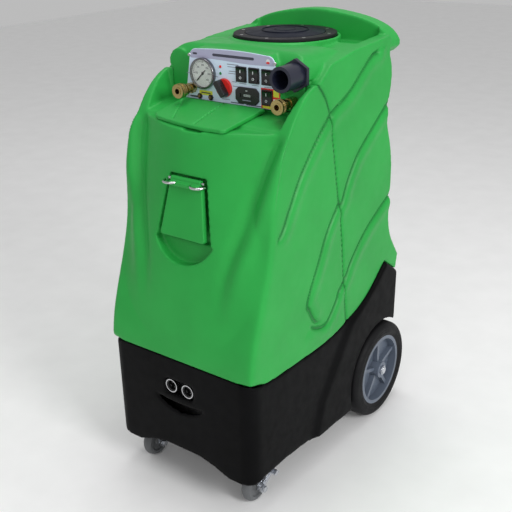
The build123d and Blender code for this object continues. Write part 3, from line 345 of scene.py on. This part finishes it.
# ---------------------------------------------------------------- the moulded tanks
# Creases on the sides as (Y, Z) in millimetres, each with a raised shoulder on its right.
CREASES = [spaced_curve(points) for points in (
    [(-236, 622), (-211, 653), (-189, 688), (-140, 755), (-51, 837), (34, 877), (116, 933), (151, 944)],
    [(-62, 381), (-92, 392), (-115, 427), (-122, 452), (-78, 532), (-49, 586), (-5, 637), (12, 638),
     (36, 682), (77, 732), (141, 778), (195, 814), (240, 840)],
    [(-115, 392), (-89, 374), (-45, 367), (-3, 407), (8, 427), (35, 447), (66, 487), (133, 542),
     (230, 592), (290, 620)],
)]
CREASE_DEPTH = 6.5 * MM
SHOULDER = 3.4 * MM
BACK_CREASES = (0.812, 0.588)        # heights where the creases cross the rear wall
# The joint of the two tanks, as (Y, Z) in millimetres.
SEAM = spaced_curve([(-86, 912), (-56, 877), (-35, 819), (-3, 660), (8, 615), (29, 449), (46, 333)])


def side_creases(co, normal):
    """Depth of the creases and their shoulders on the two sides and the rear wall."""
    amount = np.zeros(len(co))
    facing = np.clip((np.abs(normal[:, 0]) - 0.55) / 0.3, 0, 1) * (np.abs(co[:, 0]) > 0.185)
    chosen = np.nonzero(facing > 0)[0]
    flat = co[chosen][:, 1:]
    total = np.zeros(len(chosen))
    for curve in CREASES:
        distance, along = beside(flat, curve)
        fade = smooth_step(along, 0.0, 0.1)
        crease = -CREASE_DEPTH * bell(distance, 5.0 * MM)
        shoulder = SHOULDER * bell(distance - 18 * MM, 14 * MM) * (distance > 0)
        total += fade * (crease + shoulder * smooth_step(distance, 0.0, 8 * MM))
    gap, _ = beside(flat, SEAM)
    total -= 4.0 * MM * bell(gap, 5.0 * MM)
    amount[chosen] = total * facing[chosen]
    rear = np.clip((normal[:, 1] - 0.6) / 0.3, 0, 1) * (co[:, 1] > 0.19)
    for height in BACK_CREASES:
        amount -= rear * 5.0 * MM * bell(co[:, 2] - height, 7 * MM)
    return amount


def store_painted_crease_shade(mesh):
    """Stores, as the crease attribute, how much painted shade the green finish gets along the middle of the
    creases and of the joint on the sides.
    """
    co, normal = coordinates(mesh), normals(mesh)
    shade = np.zeros(len(co))
    chosen = np.nonzero((np.abs(co[:, 0]) > 0.180) & (np.abs(normal[:, 0]) > 0.4))[0]
    flat = co[chosen][:, 1:]
    value = np.zeros(len(chosen))
    for curve in CREASES:
        distance, along = beside(flat, curve)
        value = np.maximum(value, 0.85 * bell(distance, 3.4 * MM) * smooth_step(along, 0.0, 0.1))
    gap, _ = beside(flat, SEAM)
    value = np.maximum(value, 0.9 * bell(gap, 3.0 * MM))
    shade[chosen] = value
    layer = mesh.attributes.new("crease", "FLOAT", "POINT")
    layer.data.foreach_set("value", shade)


VALLEY_Z = [0.34, 0.50, 0.56, 0.655, 0.746, 0.834]
VALLEY_X = [0.094, 0.102, 0.110, 0.136, 0.161, 0.178]


def front_rails(co, normal):
    """A soft valley and a rounded rail beside it, on both sides of the front."""
    facing = np.clip((-normal[:, 1] - 0.3) / 0.3, 0, 1) * (co[:, 1] < -0.17)
    middle = np.interp(co[:, 2], VALLEY_Z, VALLEY_X)
    outwards = np.abs(co[:, 0]) - middle
    fade = smooth_step(co[:, 2], 0.43, 0.62) * (1 - smooth_step(co[:, 2], 0.81, 0.84))
    return facing * fade * (-8 * MM * bell(outwards, 15 * MM) + 7 * MM * bell(outwards - 30 * MM, 18 * MM))


def carve_solution_tank(mesh):
    co = coordinates(mesh)
    front = np.interp(co[:, 2], [0.34, 0.45, 0.61, 0.72, 0.80], [-0.332, -0.300, -0.257, -0.242, -0.212])
    corner = smooth_step(np.abs(co[:, 0]), 0.160, 0.185) * (1 - smooth_step(co[:, 1] - front, 0.03, 0.05))
    corner *= 1 - smooth_step(co[:, 2], 0.74, 0.80)
    relax(mesh, corner, 50)
    co, normal = coordinates(mesh), normals(mesh)
    displace(mesh, side_creases(co, normal) + front_rails(co, normal))


def carve_recovery_tank(mesh):
    displace(mesh, side_creases(coordinates(mesh), normals(mesh)))


def carve_nothing(mesh):
    mesh.update()


LID_GROOVES = [spaced_curve(points) for points in ([(-128, -118), (-70, -222)], [(-16, -100), (-4, -232)])]


def carve_fill_lid(mesh):
    co, normal = coordinates(mesh), normals(mesh)
    amount = np.zeros(len(co))
    for curve in LID_GROOVES:
        distance, _ = beside(co[:, :2], curve)
        amount -= 4.0 * MM * bell(distance, 2.6 * MM) * np.clip(normal[:, 2], 0, 1)
    displace(mesh, amount)


TANK_VOXEL = 0.0028
sculpted("solution_tank", TANK_VOXEL, carve_solution_tank)
sculpted("recovery_tank", TANK_VOXEL, carve_recovery_tank)
sculpted("base_housing", 0.0042, carve_nothing)
sculpted("fill_lid", 0.0016, carve_fill_lid)
sculpted("service_door", 0.0014, carve_nothing)


# ---------------------------------------------------------------- small pieces on the panel
def plate(name, outline, material, body, y, thickness=0.25):
    """A thin plate from an outline of (X, Z) in millimetres, standing proud of y towards the front."""
    builder = bmesh.new()
    back = [builder.verts.new((x * MM, y, z * MM)) for x, z in outline]
    face = builder.faces.new(back)
    extruded = bmesh.ops.extrude_face_region(builder, geom=[face])
    moved = [v for v in extruded["geom"] if isinstance(v, bmesh.types.BMVert)]
    bmesh.ops.translate(builder, verts=moved, vec=(0, -thickness * MM, 0))
    bmesh.ops.recalc_face_normals(builder, faces=builder.faces)
    mesh = bpy.data.meshes.new(name)
    builder.to_mesh(mesh)
    builder.free()
    return place_mesh(name, mesh, material, body)


def rounded(x, z, width, height, radius, turns=5):
    """Outline of a rounded rectangle round (x, z)."""
    points = []
    for corner, (sx, sz) in enumerate(((1, 1), (-1, 1), (-1, -1), (1, -1))):
        for i in range(turns + 1):
            angle = math.radians(90 * corner + 90 * i / turns)
            points.append((
                x + sx * (width / 2 - radius) + radius * math.cos(angle),
                z + sz * (height / 2 - radius) + radius * math.sin(angle),
            ))
    return points


def text_piece(name, text, size, x, z, y, material, body, thickness=0.2):
    """Raised numerals that face the front, centred on (x, z)."""
    curve = bpy.data.curves.new(name, "FONT")
    curve.body = text
    curve.size = size * MM
    curve.align_x = "CENTER"
    curve.align_y = "CENTER"
    curve.extrude = thickness * MM / 2
    holder = bpy.data.objects.new(name + "_text", curve)
    bpy.context.scene.collection.objects.link(holder)
    mesh = evaluated(holder)
    bpy.data.objects.remove(holder)
    mesh.transform(Matrix.Translation((x * MM, y, z * MM)) @ Matrix.Rotation(math.pi / 2, 4, "X"))
    return place_mesh(name, mesh, material, body)


header_low = [(x, 945.5 - 1.5 * math.sin(x / 32.0)) for x in range(-106, 111, 12)]
header_top = [
    (110.2, 947), (109, 955), (105, 961), (98, 963.4), (92, 964.2), (46, 967), (0, 968),
    (-46, 967), (-92, 964.2), (-98, 963.4), (-105, 961), (-109, 955), (-110.2, 947),
]
plate("panel_header", header_low + header_top, HEADER, "machine", PANEL_Y)
plate("title_bar", rounded(6, 956, 108, 5.5, 2.7), INK, "machine", PANEL_Y - 0.25 * MM)
plate("header_mark", rounded(-96, 955, 12, 4, 1.9), INK, "machine", PANEL_Y - 0.25 * MM)
plate("header_dot", rounded(95, 954, 10, 10, 4.9), WHITE, "machine", PANEL_Y - 0.25 * MM)
plate("header_dot_half", rounded(95, 951.6, 8, 4.4, 2.1), RED, "machine", PANEL_Y - 0.5 * MM)
plate("warning_yellow", rounded(-70, 873.5, 36, 10, 1.0), YELLOW, "machine", PANEL_Y)
plate("warning_line", rounded(-70, 873.5, 26, 2.4, 1.0), INK, "machine", PANEL_Y - 0.25 * MM)

label_bars = [
    (5, 940, 30, 1.6), (3, 935, 24, 1.3), (6, 926, 24, 1.4), (2, 921.5, 18, 1.3), (8, 905, 12, 1.4),
    (10, 896, 14, 1.4), (30, 903.5, 18, 1.3), (62, 903, 18, 1.3), (94, 902.4, 18, 1.3), (14, 861.5, 34, 1.8),
    (58, 861.0, 40, 1.8), (-104, 863, 22, 3.4), (-16, 866, 22, 1.3), (-118, 912, 8, 1.4), (-38, 911, 6, 1.3),
]
for index, (x, z, width, height) in enumerate(label_bars):
    ink = INK if index in (9, 10, 11) else GREY_INK
    outline = rounded(x, z, width, height, height * 0.45)
    plate(f"label_bar_{index + 1}", outline, ink, "machine", PANEL_Y, 0.18)

plate("switch_frame", rounded(100, 879.5, 47, 42, 1.2), RED, "machine", PANEL_Y, 0.15)
on_frame = PANEL_Y - 0.15 * MM
plate("switch_frame_top", rounded(114, 891.5, 14, 14, 0.8), YELLOW, "machine", on_frame)
plate("switch_frame_inner", rounded(114, 873, 14, 14, 0.8), WHITE, "machine", on_frame)
plate("switch_frame_foot", rounded(98, 861.6, 36, 5.0, 0.8), YELLOW, "machine", on_frame)

# Gauge: ticks and numbers on the dial, seen through the lens.
SCALE_START = 225                   # angle of the zero mark, degrees
TICK_STEP = 9                       # degrees from tick to tick; every fifth tick has a number
TICK_COUNT = 31
NUMBER_COUNT = 7
TICK_RADIUS = 26.5                  # outer end of each tick, millimetres
NUMBER_RADIUS = 17.6                # middle of each number, millimetres
low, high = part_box("gauge_dial")
gauge_x, gauge_z = (low.x + high.x) / 2 / MM, (low.z + high.z) / 2 / MM
dial_y = low.y
for tick in range(TICK_COUNT):
    angle = math.radians(SCALE_START - TICK_STEP * tick)
    length, width = (4.4, 0.55) if tick % 5 == 0 else (2.4, 0.3)
    along = Vector((math.cos(angle), math.sin(angle)))
    across = Vector((-along.y, along.x))
    outline = []
    inner = TICK_RADIUS - length
    for radius, side in ((TICK_RADIUS, 1), (TICK_RADIUS, -1), (inner, -1), (inner, 1)):
        point = Vector((gauge_x, gauge_z)) + along * radius + across * side * width
        outline.append((point.x, point.y))
    plate(f"gauge_tick_{tick + 1}", outline, INK, "machine", dial_y, 0.12)
for step in range(NUMBER_COUNT):
    angle = math.radians(SCALE_START - 5 * TICK_STEP * step)
    x, z = gauge_x + NUMBER_RADIUS * math.cos(angle), gauge_z + NUMBER_RADIUS * math.sin(angle)
    text_piece(
        f"gauge_number_{step}", str(step * 100), 5.4, x, z, dial_y - 0.06 * MM,
        INK, "machine", 0.12,
    )

# Rocker marks: a bar above and a ring below, on each paddle.
ROCKER_MARK = 6.5                   # from the paddle's middle to each mark, millimetres
for number in range(1, 5):
    low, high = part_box(f"rocker_{number}")
    x, z = (low.x + high.x) / 2 / MM, (low.z + high.z) / 2 / MM
    y = low.y + 0.75 * MM
    bar = rounded(x, z + ROCKER_MARK, 1.4, 6, 0.5)
    plate(f"rocker_bar_{number}", bar, WHITE, f"rocker_{number}", y, 0.9)
    bpy.ops.mesh.primitive_torus_add(
        major_radius=2.3 * MM, minor_radius=0.5 * MM, major_segments=24, minor_segments=8,
        location=(x * MM, low.y + 0.55 * MM, (z - ROCKER_MARK) * MM), rotation=(math.pi / 2, 0, 0),
    )
    ring_object = bpy.context.object
    ring_object.name = f"rocker_ring_{number}"
    ring_object.data.materials.append(WHITE)
    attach(ring_object, f"rocker_{number}")

low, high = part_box("hour_meter")
meter_x, meter_z = (low.x + high.x) / 2 / MM, (low.z + high.z) / 2 / MM
text_piece(
    "hour_digits", "00000", 7.0, meter_x, meter_z, low.y + 1.4 * MM, WHITE, "machine", 0.3
)
hour_mark = rounded(meter_x, meter_z + 10.5, 5, 1.6, 0.7)
hour_scale = rounded(meter_x, meter_z - 9.5, 22, 1.2, 0.5)
plate("hour_mark", hour_mark, WHITE, "machine", low.y + 0.05 * MM, 0.2)
plate("hour_scale", hour_scale, HEADER, "machine", low.y + 0.05 * MM, 0.2)


# ---------------------------------------------------------------- wheels, lid and couplers
def turned(name, profile, centre, axis, material, body, turns=96):
    """A ring turned from (radius, offset along the axis) points in millimetres."""
    verts, faces = [], []
    across = Vector((0, 0, 1)) if abs(axis.z) < 0.9 else Vector((1, 0, 0))
    across = (across - axis * across.dot(axis)).normalized()
    third = axis.cross(across)
    for i in range(turns):
        angle = 2 * math.pi * i / turns
        out = across * math.cos(angle) + third * math.sin(angle)
        for radius, offset in profile:
            verts.append(centre + out * radius * MM + axis * offset * MM)
    count = len(profile)
    for i in range(turns):
        for j in range(count):
            a, b = i * count + j, i * count + (j + 1) % count
            c, d = ((i + 1) % turns) * count + (j + 1) % count, ((i + 1) % turns) * count + j
            faces.append((a, b, c, d))
    mesh = bpy.data.meshes.new(name)
    mesh.from_pydata(verts, [], faces)
    builder = bmesh.new()
    builder.from_mesh(mesh)
    bmesh.ops.recalc_face_normals(builder, faces=builder.faces)
    builder.to_mesh(mesh)
    builder.free()
    return place_mesh(name, mesh, material, body)


for side, name in ((1, "right"), (-1, "left")):
    low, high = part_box(f"{name}_tyre")
    middle = (low + high) / 2
    radius = (high.z - low.z) / 2 / MM
    axis = Vector((side, 0, 0))
    edge = (high.x - low.x) / 2 / MM
    for number, distance in enumerate((radius - 17, radius - 24)):
        ring = [(distance - 0.7, edge - 1.8), (distance, edge + 0.5), (distance + 0.7, edge - 1.8)]
        turned(
            f"{name}_tyre_ring_{number}", ring, middle, axis, MATERIALS["tyre_rubber"],
            f"{name}_wheel",
        )

lid_low, lid_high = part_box("lid")
lid_middle = Vector(((lid_low.x + lid_high.x) / 2, (lid_low.y + lid_high.y) / 2, lid_high.z))
for number, distance in enumerate((24, 52)):
    ring = [(distance - 1.2, -2.2), (distance - 0.5, 0.4), (distance + 0.5, 0.4), (distance + 1.2, -2.2)]
    turned(
        f"lid_ring_{number}", ring, lid_middle, Vector((0, 0, 1)), MATERIALS["black_lid"], "lid"
    )

for side in ("left", "right"):
    low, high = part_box(f"coupler_sleeve_{side}")
    middle = (low + high) / 2
    radius = (high.x - low.x) / 2 / MM
    for number in range(3):
        offset = (number - 1) * 2.6
        ring = [(radius - 0.8, offset - 0.9), (radius + 0.45, offset - 0.3), (radius + 0.45, offset + 0.3),
                (radius - 0.8, offset + 0.9)]
        turned(f"sleeve_knurl_{side}_{number}", ring, middle, Vector((0, 1, 0)), MATERIALS["coupler_brass"],
               f"coupler_sleeve_{side}", 40)


# ---------------------------------------------------------------- floor, light and camera
WORLD_STRENGTH = 0.5
# Area lights: name, place, size, power in watts and the point each one faces. Metres.
LIGHTS = (
    ("key", (3.0, -0.9, 2.2), 1.2, 62, (0, 0, 0.6)),
    ("front", (0.9, -3.4, 2.6), 1.4, 15, (0, 0, 0.6)),
    ("top", (-0.2, 0.4, 3.4), 1.4, 30, (0, 0, 0.9)),
)
# Camera, fitted to the photo: place in metres, turns in radians, lens in millimetres.
CAMERA_PLACE = (1.068, -1.4621, 1.2475)
CAMERA_TURNS = (-0.644, -0.4057, -0.0209)       # yaw, pitch and roll
CAMERA_LENS = 57.96
CAMERA_SENSOR = 36.0


def floor_and_light():
    bpy.ops.mesh.primitive_plane_add(size=14, location=(0, 2, 0))
    floor = bpy.context.object
    floor.name = "floor"
    floor.data.materials.append(surface("floor_paint", (0.92, 0.92, 0.92), 0.7, spread=0.02, bump=0.02))
    world = bpy.data.worlds.new("studio")
    bpy.context.scene.world = world
    world.use_nodes = True
    world.node_tree.nodes["Background"].inputs["Color"].default_value = (1, 1, 1, 1)
    world.node_tree.nodes["Background"].inputs["Strength"].default_value = WORLD_STRENGTH
    for name, place, size, power, target in LIGHTS:
        lamp = bpy.data.lights.new(name, "AREA")
        lamp.size = size
        lamp.energy = power
        holder = bpy.data.objects.new(name, lamp)
        holder.location = place
        holder.rotation_euler = (Vector(target) - Vector(place)).to_track_quat("-Z", "Y").to_euler()
        bpy.context.scene.collection.objects.link(holder)


def camera():
    yaw, pitch, roll = CAMERA_TURNS
    forward = Vector((math.sin(yaw) * math.cos(pitch), math.cos(yaw) * math.cos(pitch), math.sin(pitch)))
    right = forward.cross(Vector((0, 0, 1))).normalized()
    up = right.cross(forward)
    turned_right = right * math.cos(roll) + up * math.sin(roll)
    turned_up = up * math.cos(roll) - right * math.sin(roll)
    data = bpy.data.cameras.new("camera")
    data.lens = CAMERA_LENS
    data.sensor_width = CAMERA_SENSOR
    holder = bpy.data.objects.new("camera", data)
    matrix = Matrix((turned_right, turned_up, -forward)).transposed().to_4x4()
    matrix.translation = Vector(CAMERA_PLACE)
    holder.matrix_world = matrix
    bpy.context.scene.collection.objects.link(holder)
    bpy.context.scene.camera = holder


floor_and_light()
camera()
bpy.context.scene.view_settings.view_transform = "Standard"
